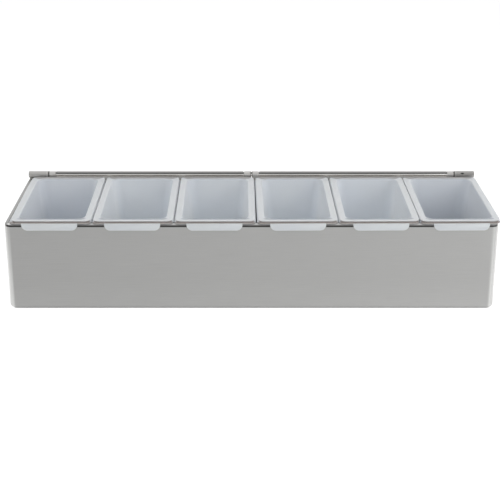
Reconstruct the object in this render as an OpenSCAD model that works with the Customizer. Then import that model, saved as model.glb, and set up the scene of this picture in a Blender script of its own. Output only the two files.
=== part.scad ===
// Condiment caddy for a bar or buffet: a folded steel housing, a row of six
// lift-out plastic inserts and two flip lids on one hinge rod along the rear.
// Millimetres. Origin at the middle of the base's underside, +X to the right,
// +Y to the rear, +Z up. Both lids lie folded back, with their front lips just
// above the table.

/* [Housing] */
// Outside length of the housing, left to right
body_l = 483; // [440:1:530]
// Outside depth of the housing, front to back
body_d = 150; // [130:1:180]
// Height of the ledge that carries the inserts
body_h = 90; // [84:0.5:110]
// Radius of the housing's two upright corners at the front
corner_r = 7.5; // [7:0.5:12]
// Radius of the housing's two upright corners at the rear, under the ears
rear_corner_r = 3.3; // [3.2:0.1:6]
// Thickness of the housing's steel sheet
sheet_t = 0.8; // [0.6:0.1:1.2]
// Outside radius of the folds along the top and bottom edges
fold_r = 2.8; // [2:0.1:3]
// Width of the ledge along the front wall
ledge_front = 3.2; // [3.1:0.1:3.4]
// Width of the ledge along each end wall
ledge_side = 4.4; // [3.2:0.1:4.6]
// Width of the ledge along the rear wall
ledge_rear = 10.6; // [9:0.1:10.8]
// Width of the flange that the base plate is welded to
foot_flange = 6.4; // [4:0.1:6.5]

/* [Hinge] */
// Diameter of the hinge rod
rod_d = 4.8; // [4:0.1:5.4]
// Radial clearance between the rod and the knuckles rolled round it
rod_play = 0.05; // [0.02:0.01:0.1]
// Height of the rod's centre above the inserts' rims
rod_rise = 1.3; // [1:0.1:2.4]
// Thickness of the sheet that the ears are rolled from
ear_t = 1; // [0.6:0.1:1.2]
// Length of each ear, measured along the rod
ear_l = 21.3; // [14:0.1:30]
// Distance from the housing's end to the ear's outer end
ear_inset = 1; // [0:0.1:3]
// Height of the ear's leaf on the rear wall, below the rod's centre
leaf_h = 30; // [18:1:50]
// Gap between one knuckle and the next along the rod
knuckle_gap = 0.4; // [0.3:0.1:0.6]

/* [Lids] */
// Thickness of the lids' steel sheet
lid_t = 0.8; // [0.6:0.1:1]
// Height of a closed lid's underside above the inserts' rims
lid_clear = 0.3; // [0.3:0.1:1]
// Length of the full knuckle at each end of a lid
lid_knuckle_l = 7.5; // [5:0.5:15]
// Inside radius of the hood that a lid's rear edge forms round the rod
hood_r = 3.2; // [2.8:0.1:3.4]
// How far that hood goes on behind the rod from its lowest point, in degrees
hood_wrap = 82; // [60:1:90]
// Width of the relief slot between a knuckle and the hood
relief_w = 0.6; // [0.4:0.1:1.2]
// Depth of that relief slot, in front of the rod's centre
relief_d = 5.5; // [5:0.5:8]
// Depth of the lid's notch beside an ear, in front of the rod's centre
notch_d = 8; // [6:0.5:14]
// Size of the notch's slanted corner
notch_corner = 10; // [4:1:20]
// Gap between the two lids at the middle
lid_gap = 1; // [0.6:0.1:2]
// Distance from the housing's end wall to the inside of the lid's end flange
lid_lap = 1.9; // [1.9:0.1:3]
// Depth of the lid's end flange
end_flange = 5; // [4:0.5:8]
// Depth of the lid's front flange
front_flange = 9; // [7:0.5:12]
// Width of the finger lip along the foot of the front flange
finger_lip = 4; // [3:0.5:8]
// Outside radius of the lids' folds
lid_fold_r = 1.6; // [1.3:0.1:2]
// Distance from the rod's centre to the rear end of the lid's end flange
end_flange_start = 24; // [20:1:40]
// Height of a folded-back lid's lip above the table
table_gap = 0.5; // [0.3:0.1:2]

/* [Inserts] */
// Free room between one insert's rim and the next, on average
insert_gap = 2.5; // [2.3:0.1:4]
// Height of an insert from its floor's underside to its rim
insert_h = 84; // [60:1:86]
// Height of the rim, from its seat to its top
rim_h = 3.5; // [3:0.1:5]
// Corner radius of the rim, seen from above
rim_corner_r = 6; // [5:0.5:8]
// How far the front rim stands out over the housing's front wall
front_lap = 1.6; // [1.6:0.1:1.8]
// Free room between the rear rim and the rolled parts round the rod
rear_play = 1.1; // [1:0.1:2]
// Distance from the rim's edge to the outside of the tub's wall
rim_w = 5.6; // [5.5:0.1:6]
// Thickness of the tub's wall
wall_t = 1; // [0.8:0.1:1.6]
// Thickness of the skirt that hangs from the rim's edge
skirt_t = 1.4; // [1.2:0.1:1.8]
// Width of the seating rib beside the tub's wall
rib_w = 1.6; // [1:0.1:2]
// Depth of the groove that runs round the skirt
groove_d = 0.8; // [0.4:0.1:0.9]
// Taper of the tub's walls, in degrees from upright
taper = 3.5; // [1:0.5:5]
// Corner radius of the tub's outside at its mouth, seen from above
tub_corner_r = 10; // [8:0.5:14]
// Corner radius of the tub's outside at its floor, seen from above
tub_floor_r = 14; // [10:0.5:18]
// Radius between the tub's walls and its floor
floor_fillet = 6; // [3:0.5:8]
// Clearance between the rim and the ledge that it rests on
seat_gap = 0.1; // [0.1:0.05:0.3]
// Width of the front pull tab
tab_w = 55.5; // [40:0.5:60]
// How far the pull tab hangs below the rim
tab_h = 6.4; // [5:0.1:9]
// Thickness of the pull tab
tab_t = 1.4; // [1:0.1:2]
// Corner radius of the pull tab
tab_r = 5; // [3:0.5:6]
// Clearance between the pull tab and the housing's front wall
tab_play = 0.9; // [0.9:0.1:1.1]
// How far the pull tab leans out at its foot, in degrees
tab_flare = 6; // [0:1:10]

/* [Hidden] */

$fn = 64;
insert_count = 6;

// How each insert happens to sit: moved to the right, moved back, and turned
insert_right = [5.45, 4.75, 4.25, 3.95, 3.05, 1.15];
insert_back = [0, 0, 0, 0, 0.2, 0.3];
insert_turn = [0.3, 0.3, 0.4, 0.8, 0.8, 0.8];

// Hinge
rod_r = rod_d / 2;
bore_r = rod_r + rod_play;
ear_r = bore_r + ear_t;
lid_knuckle_r = bore_r + lid_t;
knuckle_wrap = 300;

// Heights
rim_seat_z = body_h + seat_gap;
rim_top_z = rim_seat_z + rim_h;
axis_z = rim_top_z + rod_rise;
axis_y = body_d / 2 + ear_t - ear_r;

// Inserts
pitch = body_l / insert_count;
insert_w = pitch - insert_gap;
rim_front_y = -body_d / 2 - front_lap;
rim_rear_y = axis_y - max(ear_r, hood_r + lid_t) - rear_play;
insert_d = rim_rear_y - rim_front_y;
insert_mid_y = (rim_rear_y + rim_front_y) / 2;
tub_h = insert_h - rim_h;
arc_steps = 6;
fillet_steps = 3;
floor_t = 1.2;

// Lids, seen closed, with the rod's centre as their origin
lid_under = lid_clear - rod_rise;
lid_top = lid_under + lid_t;
lid_end_x = body_l / 2 + lid_lap + lid_t;
tab_front_y = -body_d / 2 - tab_play - tab_t - tab_h * tan(tab_flare);
lid_front = tab_front_y - lid_clear - lid_t - axis_y;
lip_reach = norm([lid_front, lid_top]);
lip_lean = atan2(-lid_top, -lid_front);
lid_turn = 180 + lip_lean + asin((axis_z - table_gap) / lip_reach);
ear_out_x = body_l / 2 - ear_inset;
ear_in_x = ear_out_x - ear_l;
lid_knuckle_x = ear_in_x - knuckle_gap;

// A lid's flat top ends inside the wall of its rolled edge
roll_lap = lid_t / 4;
knuckle_y = bore_r + roll_lap;
hood_y = hood_r + roll_lap;
hood_rise = hood_r + lid_t - lid_knuckle_r;

echo(lid_turn = lid_turn, axis_y = axis_y, axis_z = axis_z, rim_top_z = rim_top_z,
    insert_w = insert_w, insert_d = insert_d, lid_front = lid_front);

// ---- shared shapes -------------------------------------------------------

// A rectangle with true round corners, of one radius in front and one behind
module rounded(l, d, r_front, r_rear) {
    translate([-l / 2, r_front - d / 2]) square([l, d - r_front - r_rear]);
    for (x = [-1, 1], y = [-1, 1]) {
        r = y < 0 ? r_front : r_rear;
        translate([0, y * (d / 2 - r)]) square([l - 2 * r, 2 * r], center = true);
        translate([x * (l / 2 - r), y * (d / 2 - r)]) circle(r);
    }
}

// A profile drawn as (distance outwards, height), carried round the housing.
// Its distances count from a corner's centre, which lies $r inside the wall.
module carried_round() {
    radii = [rear_corner_r, rear_corner_r, corner_r, corner_r];
    for (side = [0:3]) {
        across = side % 2 == 0 ? body_l : body_d;
        start = radii[(side + 1) % 4];
        $r = radii[side];
        rotate([0, 0, 90 * side])
            translate([start - across / 2, (body_l + body_d - across) / 2 - $r, 0])
                rotate([90, 0, 90]) linear_extrude(across - start - $r) children();
    }
    for (corner = [0:3]) {
        x = (corner == 0 || corner == 3) ? 1 : -1;
        y = corner < 2 ? 1 : -1;
        $r = radii[corner];
        translate([x * (body_l / 2 - $r), y * (body_d / 2 - $r), 0])
            rotate([0, 0, 90 * corner]) rotate_extrude(angle = 90) children();
    }
}

// One quarter of a folded sheet: the quadrant that lies towards (sx, sy)
module quarter_fold(r, t, sx, sy) {
    intersection() {
        difference() {
            circle(r);
            circle(r - t);
        }
        translate([sx > 0 ? 0 : -r, sy > 0 ? 0 : -r]) square(r);
    }
}

// A rolled sheet round the origin from angle a0 to angle a1, less than a turn
module curl(r_in, r_out, a0, a1) {
    far = 2 * r_out;
    steps = 6;
    intersection() {
        difference() {
            circle(r_out);
            circle(r_in);
        }
        polygon(concat([[0, 0]], [for (k = [0:steps])
            let (a = a0 + (a1 - a0) * k / steps) far * [cos(a), sin(a)]]));
    }
}

// A profile drawn as (rearwards, upwards), drawn out along X from x0 to x1
module along_x(x0, x1) {
    translate([x0, 0, 0]) rotate([90, 0, 90]) linear_extrude(x1 - x0) children();
}

// ---- housing -------------------------------------------------------------

// The outline of the housing, a distance inside the walls' outer faces
module housing_outline(inset) {
    rounded(body_l - 2 * inset, body_d - 2 * inset, corner_r - inset, rear_corner_r - inset);
}

module housing() {
    flange_corner = corner_r - foot_flange;
    color("silver") {
        translate([0, 0, sheet_t + fold_r])
            linear_extrude(body_h - sheet_t - 2 * fold_r) difference() {
            housing_outline(0);
            housing_outline(sheet_t);
        }
        carried_round() {
            translate([$r - fold_r, body_h - fold_r]) quarter_fold(fold_r, sheet_t, 1, 1);
        }
        carried_round() {
            translate([$r - fold_r, sheet_t + fold_r]) quarter_fold(fold_r, sheet_t, 1, -1);
        }
        translate([0, 0, body_h - sheet_t]) linear_extrude(sheet_t) difference() {
            housing_outline(fold_r);
            translate([0, (ledge_front - ledge_rear) / 2])
                rounded(body_l - 2 * ledge_side, body_d - ledge_front - ledge_rear,
                    ledge_front, ledge_front);
        }
        translate([0, 0, sheet_t]) linear_extrude(sheet_t) difference() {
            housing_outline(fold_r);
            rounded(body_l - 2 * foot_flange, body_d - 2 * foot_flange,
                flange_corner, flange_corner);
        }
    }
}

// The base is welded under the foot flange, inside the housing's folds
module base_plate() {
    color("gainsboro") linear_extrude(sheet_t) housing_outline(fold_r);
}

// ---- hinge ---------------------------------------------------------------

// A leaf on the rear wall's outside, rolled forwards over the rod
module hinge_ear(side) {
    x0 = side > 0 ? ear_in_x : -ear_out_x;
    leaf_r = ear_l / 4;
    color("lightgray") translate([0, axis_y, axis_z]) {
        along_x(x0, x0 + ear_l) curl(bore_r, ear_r, 0, knuckle_wrap);
        translate([x0 + ear_l / 2, ear_r - ear_t, 0]) rotate([-90, 0, 0])
            linear_extrude(ear_t) {
                translate([-ear_l / 2, 0]) square([ear_l, leaf_h - leaf_r]);
                translate([-ear_l / 2 + leaf_r, 0]) square([ear_l - 2 * leaf_r, leaf_h]);
                for (x = [-1, 1])
                    translate([x * (ear_l / 2 - leaf_r), leaf_h - leaf_r]) circle(leaf_r);
            }
    }
}

module hinge_rod() {
    color("darkgray") translate([-ear_out_x, axis_y, axis_z]) rotate([0, 90, 0])
        cylinder(r = rod_r, h = 2 * ear_out_x);
}

// ---- lids ----------------------------------------------------------------

// A lid's rolled edge: it starts inside the flat top, passes under the rod and
// ends at the angle roll_end. Its centre lies a rise above the rod's.
module rolled_edge(r, rise, roll_end) {
    roll_start = atan2(lid_top - lid_t / 2 - rise, -r - lid_t / 2);
    translate([0, rise]) curl(r, r + lid_t, roll_start, roll_end);
}

// The right lid, closed, with the rod's centre as its origin
module closed_lid() {
    x_in = lid_gap / 2;
    x_out = lid_end_x - lid_fold_r;
    y_front = lid_front + lid_fold_r;
    fold_z = lid_top - lid_fold_r;
    knuckle_x0 = lid_knuckle_x - lid_knuckle_l;
    hood_x0 = x_in + lid_knuckle_l + relief_w;
    hood_x1 = knuckle_x0 - relief_w;
    // flat top, notched at its rear corner for the housing's ear
    translate([0, 0, lid_under]) linear_extrude(lid_t)
        polygon([[x_in, -knuckle_y], [x_in, y_front], [x_out, y_front],
            [x_out, -notch_d - notch_corner], [x_out - notch_corner, -notch_d],
            [lid_knuckle_x, -notch_d], [lid_knuckle_x, -knuckle_y],
            [knuckle_x0, -knuckle_y], [knuckle_x0, -relief_d],
            [hood_x1, -relief_d], [hood_x1, -hood_y],
            [hood_x0, -hood_y], [hood_x0, -relief_d],
            [x_in + lid_knuckle_l, -relief_d], [x_in + lid_knuckle_l, -knuckle_y]]);
    // a full knuckle at each end, and the open hood between them
    for (x = [x_in, knuckle_x0])
        along_x(x, x + lid_knuckle_l) rolled_edge(bore_r, 0, knuckle_wrap - 160);
    along_x(hood_x0, hood_x1) rolled_edge(hood_r, hood_rise, hood_wrap - 90);
    // end flange
    translate([0, y_front, 0]) rotate([-90, 0, 0]) mirror([0, 1, 0])
        linear_extrude(-y_front - end_flange_start) {
            translate([x_out, fold_z]) quarter_fold(lid_fold_r, lid_t, 1, 1);
            translate([lid_end_x - lid_t, lid_top - end_flange])
                square([lid_t, end_flange - lid_fold_r]);
        }
    // front flange with its finger lip
    along_x(x_in, x_out) {
        translate([y_front, fold_z]) quarter_fold(lid_fold_r, lid_t, -1, 1);
        translate([lid_front, lid_top - front_flange + lid_fold_r])
            square([lid_t, front_flange - 2 * lid_fold_r]);
        translate([lid_front - lid_fold_r + lid_t, lid_top - front_flange + lid_fold_r])
            quarter_fold(lid_fold_r, lid_t, 1, -1);
        translate([lid_front - finger_lip, lid_top - front_flange])
            square([finger_lip - lid_fold_r + lid_t, lid_t]);
    }
}

module lid(side) {
    color("whitesmoke") translate([0, axis_y, axis_z]) rotate([-lid_turn, 0, 0])
        mirror([side > 0 ? 0 : 1, 0, 0]) closed_lid();
}

// ---- inserts -------------------------------------------------------------

// One ring of the insert: its distance in from the rim's edge, its height and
// its corner radius, as points counted anticlockwise
function ring(inset, z, r) = [
    for (corner = [0:3], k = [0:arc_steps])
        let (a = 90 * (corner + k / arc_steps),
            x = (corner == 0 || corner == 3) ? 1 : -1,
            y = corner < 2 ? 1 : -1)
        [x * (insert_w / 2 - inset - r) + r * cos(a),
            y * (insert_d / 2 - inset - r) + r * sin(a), z]];

// Corner radius of the rim at a distance in from its edge
function rim_r(inset) = rim_corner_r + (tub_corner_r - rim_corner_r) * inset / rim_w;

// Rounded foot of a wall that stands at wall_inset, from the floor outwards
function foot(wall_inset, z, fillet, r) = [
    for (k = [0:fillet_steps])
        let (a = 90 * k / fillet_steps, in = fillet * (1 - sin(a)))
        [wall_inset + in, z + fillet * (1 - cos(a)), r - 0.8 * in]];

// The insert's section, from the middle of its underside out, up, over the rim
// and down the inside: distance in from the rim's edge, height, corner radius
function insert_section() =
    let (under_z = rim_top_z - insert_h,
        plate_z = rim_top_z - wall_t - 0.2,
        groove_top = rim_top_z - 0.5,
        groove_foot = rim_seat_z + 1.5,
        mouth = rim_w + wall_t,
        wall_run = tub_h * tan(taper),
        in_fillet = floor_fillet - wall_t)
    concat(
        foot(rim_w + wall_run, under_z, floor_fillet, tub_floor_r),
        [[rim_w, rim_seat_z, tub_corner_r],
            [rim_w - rib_w, rim_seat_z, rim_r(rim_w - rib_w)],
            [rim_w - rib_w, plate_z, rim_r(rim_w - rib_w)],
            [skirt_t, plate_z, rim_r(skirt_t)],
            [skirt_t, rim_seat_z, rim_r(skirt_t)],
            [0.3, rim_seat_z, rim_r(0.3)],
            [0, rim_seat_z + 0.3, rim_corner_r],
            [0, groove_foot - 0.2, rim_corner_r],
            [groove_d, groove_foot, rim_r(groove_d)],
            [groove_d, groove_top, rim_r(groove_d)],
            [0, groove_top + 0.1, rim_corner_r],
            [0.3, rim_top_z, rim_r(0.3)],
            [mouth - 0.6, rim_top_z, tub_corner_r - 0.4],
            [mouth - 0.15, rim_top_z - 0.2, tub_corner_r - 0.85],
            [mouth, rim_top_z - 0.6, tub_corner_r - wall_t]],
        [for (k = [fillet_steps:-1:0])
            foot(rim_w + wall_run + wall_t, under_z + floor_t, in_fillet,
                tub_floor_r - wall_t)[k]]);

module tub() {
    section = insert_section();
    rows = len(section);
    n = 4 * (arc_steps + 1);
    points = [for (s = section) each ring(s[0], s[1], s[2])];
    sides = [for (j = [0:rows - 2], i = [0:n - 1])
        let (a = j * n + i, b = (j + 1) * n + i,
            c = (j + 1) * n + (i + 1) % n, d = j * n + (i + 1) % n)
        each [[a, b, c], [a, c, d]]];
    floor_face = [for (i = [0:n - 1]) i];
    inner_face = [for (i = [n - 1:-1:0]) (rows - 1) * n + i];
    polyhedron(points, concat(sides, [floor_face, inner_face]), convexity = 6);
}

// The pull tab hangs from the lip under the groove and leans out a little
module pull_tab() {
    root = 0.8;
    tab_y = -body_d / 2 - tab_play - insert_mid_y;
    translate([0, tab_y, rim_seat_z]) rotate([-tab_flare, 0, 0])
        rotate([90, 0, 0]) linear_extrude(tab_t) {
            translate([-tab_w / 2, tab_r - tab_h]) square([tab_w, tab_h - tab_r + root]);
            translate([tab_r - tab_w / 2, -tab_h]) square([tab_w - 2 * tab_r, tab_r]);
            for (x = [-1, 1])
                translate([x * (tab_w / 2 - tab_r), tab_r - tab_h]) circle(tab_r);
        }
}

module insert(i) {
    place = (i - (insert_count + 1) / 2) * pitch + insert_right[i - 1];
    color("white") translate([place, insert_mid_y + insert_back[i - 1], 0])
        rotate([0, 0, insert_turn[i - 1]]) {
            tub();
            pull_tab();
        }
}

housing();
base_plate();
hinge_ear(-1);  // hinge_ear_left
hinge_ear(1);  // hinge_ear_right
hinge_rod();
lid(-1);  // lid_left
lid(1);  // lid_right
insert(1);  // insert_1
insert(2);  // insert_2
insert(3);  // insert_3
insert(4);  // insert_4
insert(5);  // insert_5
insert(6);  // insert_6
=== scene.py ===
"""Condiment caddy with two flip lids: the finish of every piece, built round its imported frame.

Everything is in metres in the frame's own axes: +X to the right, +Y to the rear, +Z up, with the
origin in the middle of the base's underside. Sizes below are in millimetres and become metres
through MM. New pieces are surfaces worked out as whole arrays: rings of points round a rounded
rectangle, stacked along a section.
"""

import logging
import math
from dataclasses import dataclass
from enum import Enum, IntEnum

import bmesh
import bpy
import numpy as np
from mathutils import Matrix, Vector


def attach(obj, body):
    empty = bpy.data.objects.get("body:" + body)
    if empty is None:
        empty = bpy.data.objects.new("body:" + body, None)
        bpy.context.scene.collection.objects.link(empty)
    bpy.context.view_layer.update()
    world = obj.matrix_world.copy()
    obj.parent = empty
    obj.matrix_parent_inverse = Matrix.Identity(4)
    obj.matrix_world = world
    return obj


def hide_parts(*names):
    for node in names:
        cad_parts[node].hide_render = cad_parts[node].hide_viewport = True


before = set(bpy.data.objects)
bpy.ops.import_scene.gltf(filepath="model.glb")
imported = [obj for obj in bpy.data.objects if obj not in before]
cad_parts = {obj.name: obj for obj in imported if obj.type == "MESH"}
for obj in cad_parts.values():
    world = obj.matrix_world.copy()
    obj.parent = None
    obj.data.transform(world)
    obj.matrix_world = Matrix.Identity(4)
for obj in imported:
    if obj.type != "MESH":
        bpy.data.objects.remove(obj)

MM = 0.001
LOG = logging.getLogger("caddy")
GRAIN_MAP = "brushing"
# The colour attribute that carries each piece's painted light and shade.
TINT = "tint"
SHARP_FROM = 40.0
# A seam's painted shade covers a swept piece's end up to the first of these, and has faded at the second.
SEAM_ENDS, SEAM_FADES = 0.7, 1.0
# Warm colour of the painted light and shade round the hinge's rolls.
ROLL_PAINTED_WARMTH = (1.0, 0.985, 0.97)


# ---- sizes ----------------------------------------------------------------


@dataclass(frozen=True)
class Sizes:
    """The sizes that several pieces share, in millimetres and degrees."""

    length: float = 483.0
    depth: float = 150.0
    height: float = 90.0
    sheet: float = 0.8
    seat_gap: float = 0.1
    rim_height: float = 3.5
    front_lap: float = 1.6
    rear_play: float = 1.1
    tab_play: float = 0.9
    tab_thickness: float = 1.4
    tab_height: float = 6.4
    tab_flare: float = 6.0
    rod: float = 4.8
    rod_play: float = 0.05
    rod_rise: float = 1.3
    ear_sheet: float = 1.0
    ear_length: float = 21.3
    ear_inset: float = 1.0
    knuckle_gap: float = 0.4
    knuckle_wrap: float = 300.0
    lid_sheet: float = 0.8
    lid_clear: float = 0.3
    hood: float = 3.2

    @property
    def rim_top(self) -> float:
        """Height of the inserts' rims."""
        return self.height + self.seat_gap + self.rim_height

    @property
    def bore(self) -> float:
        """Inside radius of the knuckles."""
        return self.rod / 2 + self.rod_play

    @property
    def axis(self) -> tuple:
        """The rod's centre, as (y, z)."""
        return (self.depth / 2 - self.bore, self.rim_top + self.rod_rise)

    @property
    def ear_out(self) -> float:
        """Distance of the ears' and the rod's outer ends from the middle."""
        return self.length / 2 - self.ear_inset

    @property
    def rim_rear(self) -> float:
        """How far back the inserts' rims reach."""
        return self.axis[0] - self.hood - self.lid_sheet - self.rear_play

    @property
    def rim_front(self) -> float:
        """How far forwards the inserts' rims reach."""
        return -self.depth / 2 - self.front_lap


# ---- surfaces -------------------------------------------------------------


class Way(IntEnum):
    """The way something faces, in degrees anticlockwise from the right, seen from above."""

    RIGHT = 0
    REAR = 90
    LEFT = 180
    FRONT = 270


@dataclass
class Body:
    """A closed surface: its points and their tints, its faces, and the corners' brushing coordinates."""

    points: np.ndarray
    faces: list
    uvs: np.ndarray
    tints: np.ndarray

    @staticmethod
    def joined(bodies: list) -> "Body":
        """Puts several bodies into one: each one's faces count on from the points before it.

        Args:
            bodies: the bodies, which keep their places.

        Returns:
            The one body.
        """
        starts = np.cumsum([0] + [len(body.points) for body in bodies[:-1]])
        faces = [[k + int(start) for k in face]
                 for body, start in zip(bodies, starts) for face in body.faces]
        points, uvs, tints = (np.vstack([getattr(body, part) for body in bodies])
                              for part in ("points", "uvs", "tints"))
        return Body(points, faces, uvs, tints)

    def make(self, name: str) -> bpy.types.Object:
        """Turns the body into a mesh object at the origin, smooth but for its sharp edges.

        Args:
            name: the object's name.

        Returns:
            The object, linked to the scene.
        """
        mesh = bpy.data.meshes.new(name)
        mesh.from_pydata((self.points * MM).tolist(), [], self.faces)
        layer = mesh.uv_layers.new(name=GRAIN_MAP)
        layer.data.foreach_set("uv", self.uvs.astype(np.float32).ravel())
        tint = mesh.attributes.new(TINT, "FLOAT_COLOR", "POINT")
        tint.data.foreach_set("color", np.column_stack([self.tints, np.ones(len(self.tints))]).ravel())
        work = bmesh.new()
        work.from_mesh(mesh)
        bmesh.ops.recalc_face_normals(work, faces=work.faces)
        work.to_mesh(mesh)
        work.free()
        mesh.polygons.foreach_set("use_smooth", np.ones(len(mesh.polygons), bool))
        mesh.set_sharp_from_angle(angle=math.radians(SHARP_FROM))
        mesh.update()
        made = bpy.data.objects.new(name, mesh)
        bpy.context.scene.collection.objects.link(made)
        return made


def lofted(rings: list, closes: bool = False, along_stack: bool = False, tints: object = 1.0) -> Body:
    """Joins a stack of rings of equal length into quads.

    A point's brushing coordinates are its distance round its ring and its distance along the
    stack, in metres. The first of the two is the direction of the brushing.

    Args:
        rings: arrays of points in millimetres, all of one length, each closed on itself.
        closes: whether the last ring joins the first. If not, both ends are closed by a face.
        along_stack: whether the brushing runs along the stack and not round the rings.
        tints: what the finish's colour is multiplied by, as an array that fits rings, points and colours.

    Returns:
        The body.
    """
    points = np.stack(rings)
    rows, columns = points.shape[:2]
    j, i = np.meshgrid(np.arange(rows if closes else rows - 1), np.arange(columns), indexing="ij")
    j, i = j.ravel(), i.ravel()
    j_next, i_next = (j + 1) % rows, (i + 1) % columns
    quads = np.stack([j * columns + i, j * columns + i_next, j_next * columns + i_next,
                      j_next * columns + i], -1)
    round_ring = np.linalg.norm(np.roll(points, -1, 1) - points, axis=2).max(0)
    along = np.linalg.norm(np.roll(points, -1, 0) - points, axis=2).max(1)
    u = np.concatenate([[0.0], np.cumsum(round_ring)]) * MM
    v = np.concatenate([[0.0], np.cumsum(along)]) * MM
    uv = np.stack([u[[i, i + 1, i + 1, i]], v[[j, j, j + 1, j + 1]]], -1)
    uv = uv.transpose(1, 0, 2).reshape(-1, 2)
    faces = quads.tolist()
    if not closes:
        last = (rows - 1) * columns
        faces += [list(range(columns)), list(range(last, last + columns))]
        ends = [np.column_stack([u[:-1], np.full(columns, v[k])]) for k in (0, rows - 1)]
        uv = np.vstack([uv, *ends])
    tints = np.broadcast_to(tints, points.shape).reshape(-1, 3)
    return Body(points.reshape(-1, 3), faces, uv[:, ::-1] if along_stack else uv, tints)


@dataclass(frozen=True)
class Outline:
    """A rounded rectangle seen from above, at one height, in millimetres."""

    x0: float
    x1: float
    y0: float
    y1: float
    z: float
    front_radius: float
    rear_radius: float

    def ring(self, steps: int, hold: float) -> np.ndarray:
        """Points round the outline, anticlockwise from the right-hand side.

        Each corner's points are its centre plus its radius times the cosine and sine of evenly
        spaced angles, with one more point on either side of the arc, hold away along the
        straight run, so that shading turns only at the corner.

        Args:
            steps: how many steps each corner's arc has.
            hold: distance of the holding points from the arc's ends.

        Returns:
            One row of x, y and z for each point.
        """
        corner = np.arange(4)
        start = corner * 0.5 * np.pi
        angles = start[:, None] + np.linspace(0, 0.5 * np.pi, steps + 1)[None, :]
        radius = np.where(corner < 2, self.rear_radius, self.front_radius)
        cx = np.where(np.isin(corner, (0, 3)), self.x1 - radius, self.x0 + radius)
        cy = np.where(corner < 2, self.y1 - radius, self.y0 + radius)
        arc = np.stack([cx[:, None] + radius[:, None] * np.cos(angles),
                        cy[:, None] + radius[:, None] * np.sin(angles)], -1)
        before = arc[:, :1] + hold * np.stack([np.sin(start), -np.cos(start)], -1)[:, None]
        after = arc[:, -1:] - hold * np.stack([np.cos(start), np.sin(start)], -1)[:, None]
        flat = np.concatenate([before, arc, after], 1).reshape(-1, 2)
        return np.column_stack([flat, np.full(len(flat), self.z)])

    @staticmethod
    def facing(steps: int, degrees: float, spread: float) -> np.ndarray:
        """How nearly each point of a ring faces a direction, from 0 to 1.

        Args:
            steps: how many steps each corner's arc has.
            degrees: the direction, anticlockwise from the right-hand side.
            spread: how far from it, in degrees, a point still counts as facing it.

        Returns:
            One number for each point, falling off over half a spread more.
        """
        arc = 90.0 * np.arange(4)[:, None] + np.linspace(0, 90, steps + 1)[None, :]
        angles = np.concatenate([arc[:, :1], arc, arc[:, -1:]], 1).ravel()
        away = np.abs((angles - degrees + 180) % 360 - 180)
        return np.clip(3 - 2 * away / spread, 0, 1)


def tinted(weights: np.ndarray, tint: object) -> np.ndarray:
    """Tints that go from none at weight 0 to the given one at weight 1.

    Args:
        weights: how much of the tint each point takes on.
        tint: red, green and blue to multiply by, or one number for all three.

    Returns:
        The weights with three colours more along a last axis.
    """
    return 1 + weights[..., None] * (np.broadcast_to(tint, 3) - 1)


def painted_light_round(points: np.ndarray, stops: tuple) -> np.ndarray:
    """Tints of a roll round the rod, each a little warmer than grey.

    Args:
        points: the roll's points (y, z) from the rod's centre, as they stand with the lids back.
        stops: pairs of an angle in degrees, from the rear towards the top, and the painted brightness
            there.

    Returns:
        One tint for each point.
    """
    angles = np.degrees(np.arctan2(points[:, 1], points[:, 0])) % 360
    bright = np.interp(angles, *zip(*stops))
    return bright[:, None] * np.array(ROLL_PAINTED_WARMTH)


def near(angles: np.ndarray, middle: float, reach: float, fade: float) -> np.ndarray:
    """How much of a roll's angles lie near a middle one, from 0 to 1.

    Args:
        angles: the angles, in degrees.
        middle: the middle one.
        reach: how far from it the weight has fallen to 0.
        fade: over how many degrees it falls.

    Returns:
        One weight for each angle.
    """
    away = np.abs((angles - middle + 180) % 360 - 180)
    return np.clip((reach - away) / fade, 0, 1)


def arc_rows(centre: tuple, radius: float, start: float, stop: float, steps: int) -> np.ndarray:
    """Points along an arc: the centre plus radius times the cosine and sine of the angle.

    Args:
        centre: the arc's centre.
        radius: its radius.
        start: first angle in degrees.
        stop: last angle in degrees.
        steps: how many steps.

    Returns:
        One row for each point.
    """
    a = np.radians(np.linspace(start, stop, steps + 1))
    return np.column_stack([centre[0] + radius * np.cos(a), centre[1] + radius * np.sin(a)])


def sheet_ring(path: np.ndarray, thickness: float, edge: float) -> np.ndarray:
    """The outline of a bent sheet's section, with its two cut edges rounded a little.

    Each point of the path moves half a thickness to either side along the mean of its two
    neighbouring segments' normals, lengthened so that the sheet keeps its thickness in a bend.

    Args:
        path: points along the middle of the sheet.
        thickness: the sheet's thickness.
        edge: radius of the rounding at its cut edges.

    Returns:
        Points round the section.
    """
    run = np.diff(path, axis=0)
    run /= np.linalg.norm(run, axis=1)[:, None]
    mean = np.vstack([run[:1], run[:-1] + run[1:], run[-1:]])
    mean /= np.linalg.norm(mean, axis=1)[:, None]
    stretch = 1 / np.sum(mean * np.vstack([run[:1], run]), axis=1)
    side = np.column_stack([-mean[:, 1], mean[:, 0]]) * stretch[:, None]
    half = thickness / 2
    left, right = path + half * side, path - half * side
    a = np.radians([0, 30, 60, 90])[:, None]
    caps = []
    for end, out in ((path[-1], mean[-1]), (path[0], -mean[0])):
        across = np.array([-out[1], out[0]])
        first = end - edge * out + (half - edge) * across + edge * (np.cos(a) * across + np.sin(a) * out)
        last = end - edge * out - (half - edge) * across + edge * (np.sin(a) * out - np.cos(a) * across)
        caps.append(np.vstack([first, last[::-1]]))
    return np.vstack([left[1:-1], caps[0], right[1:-1][::-1], caps[1]])


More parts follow.
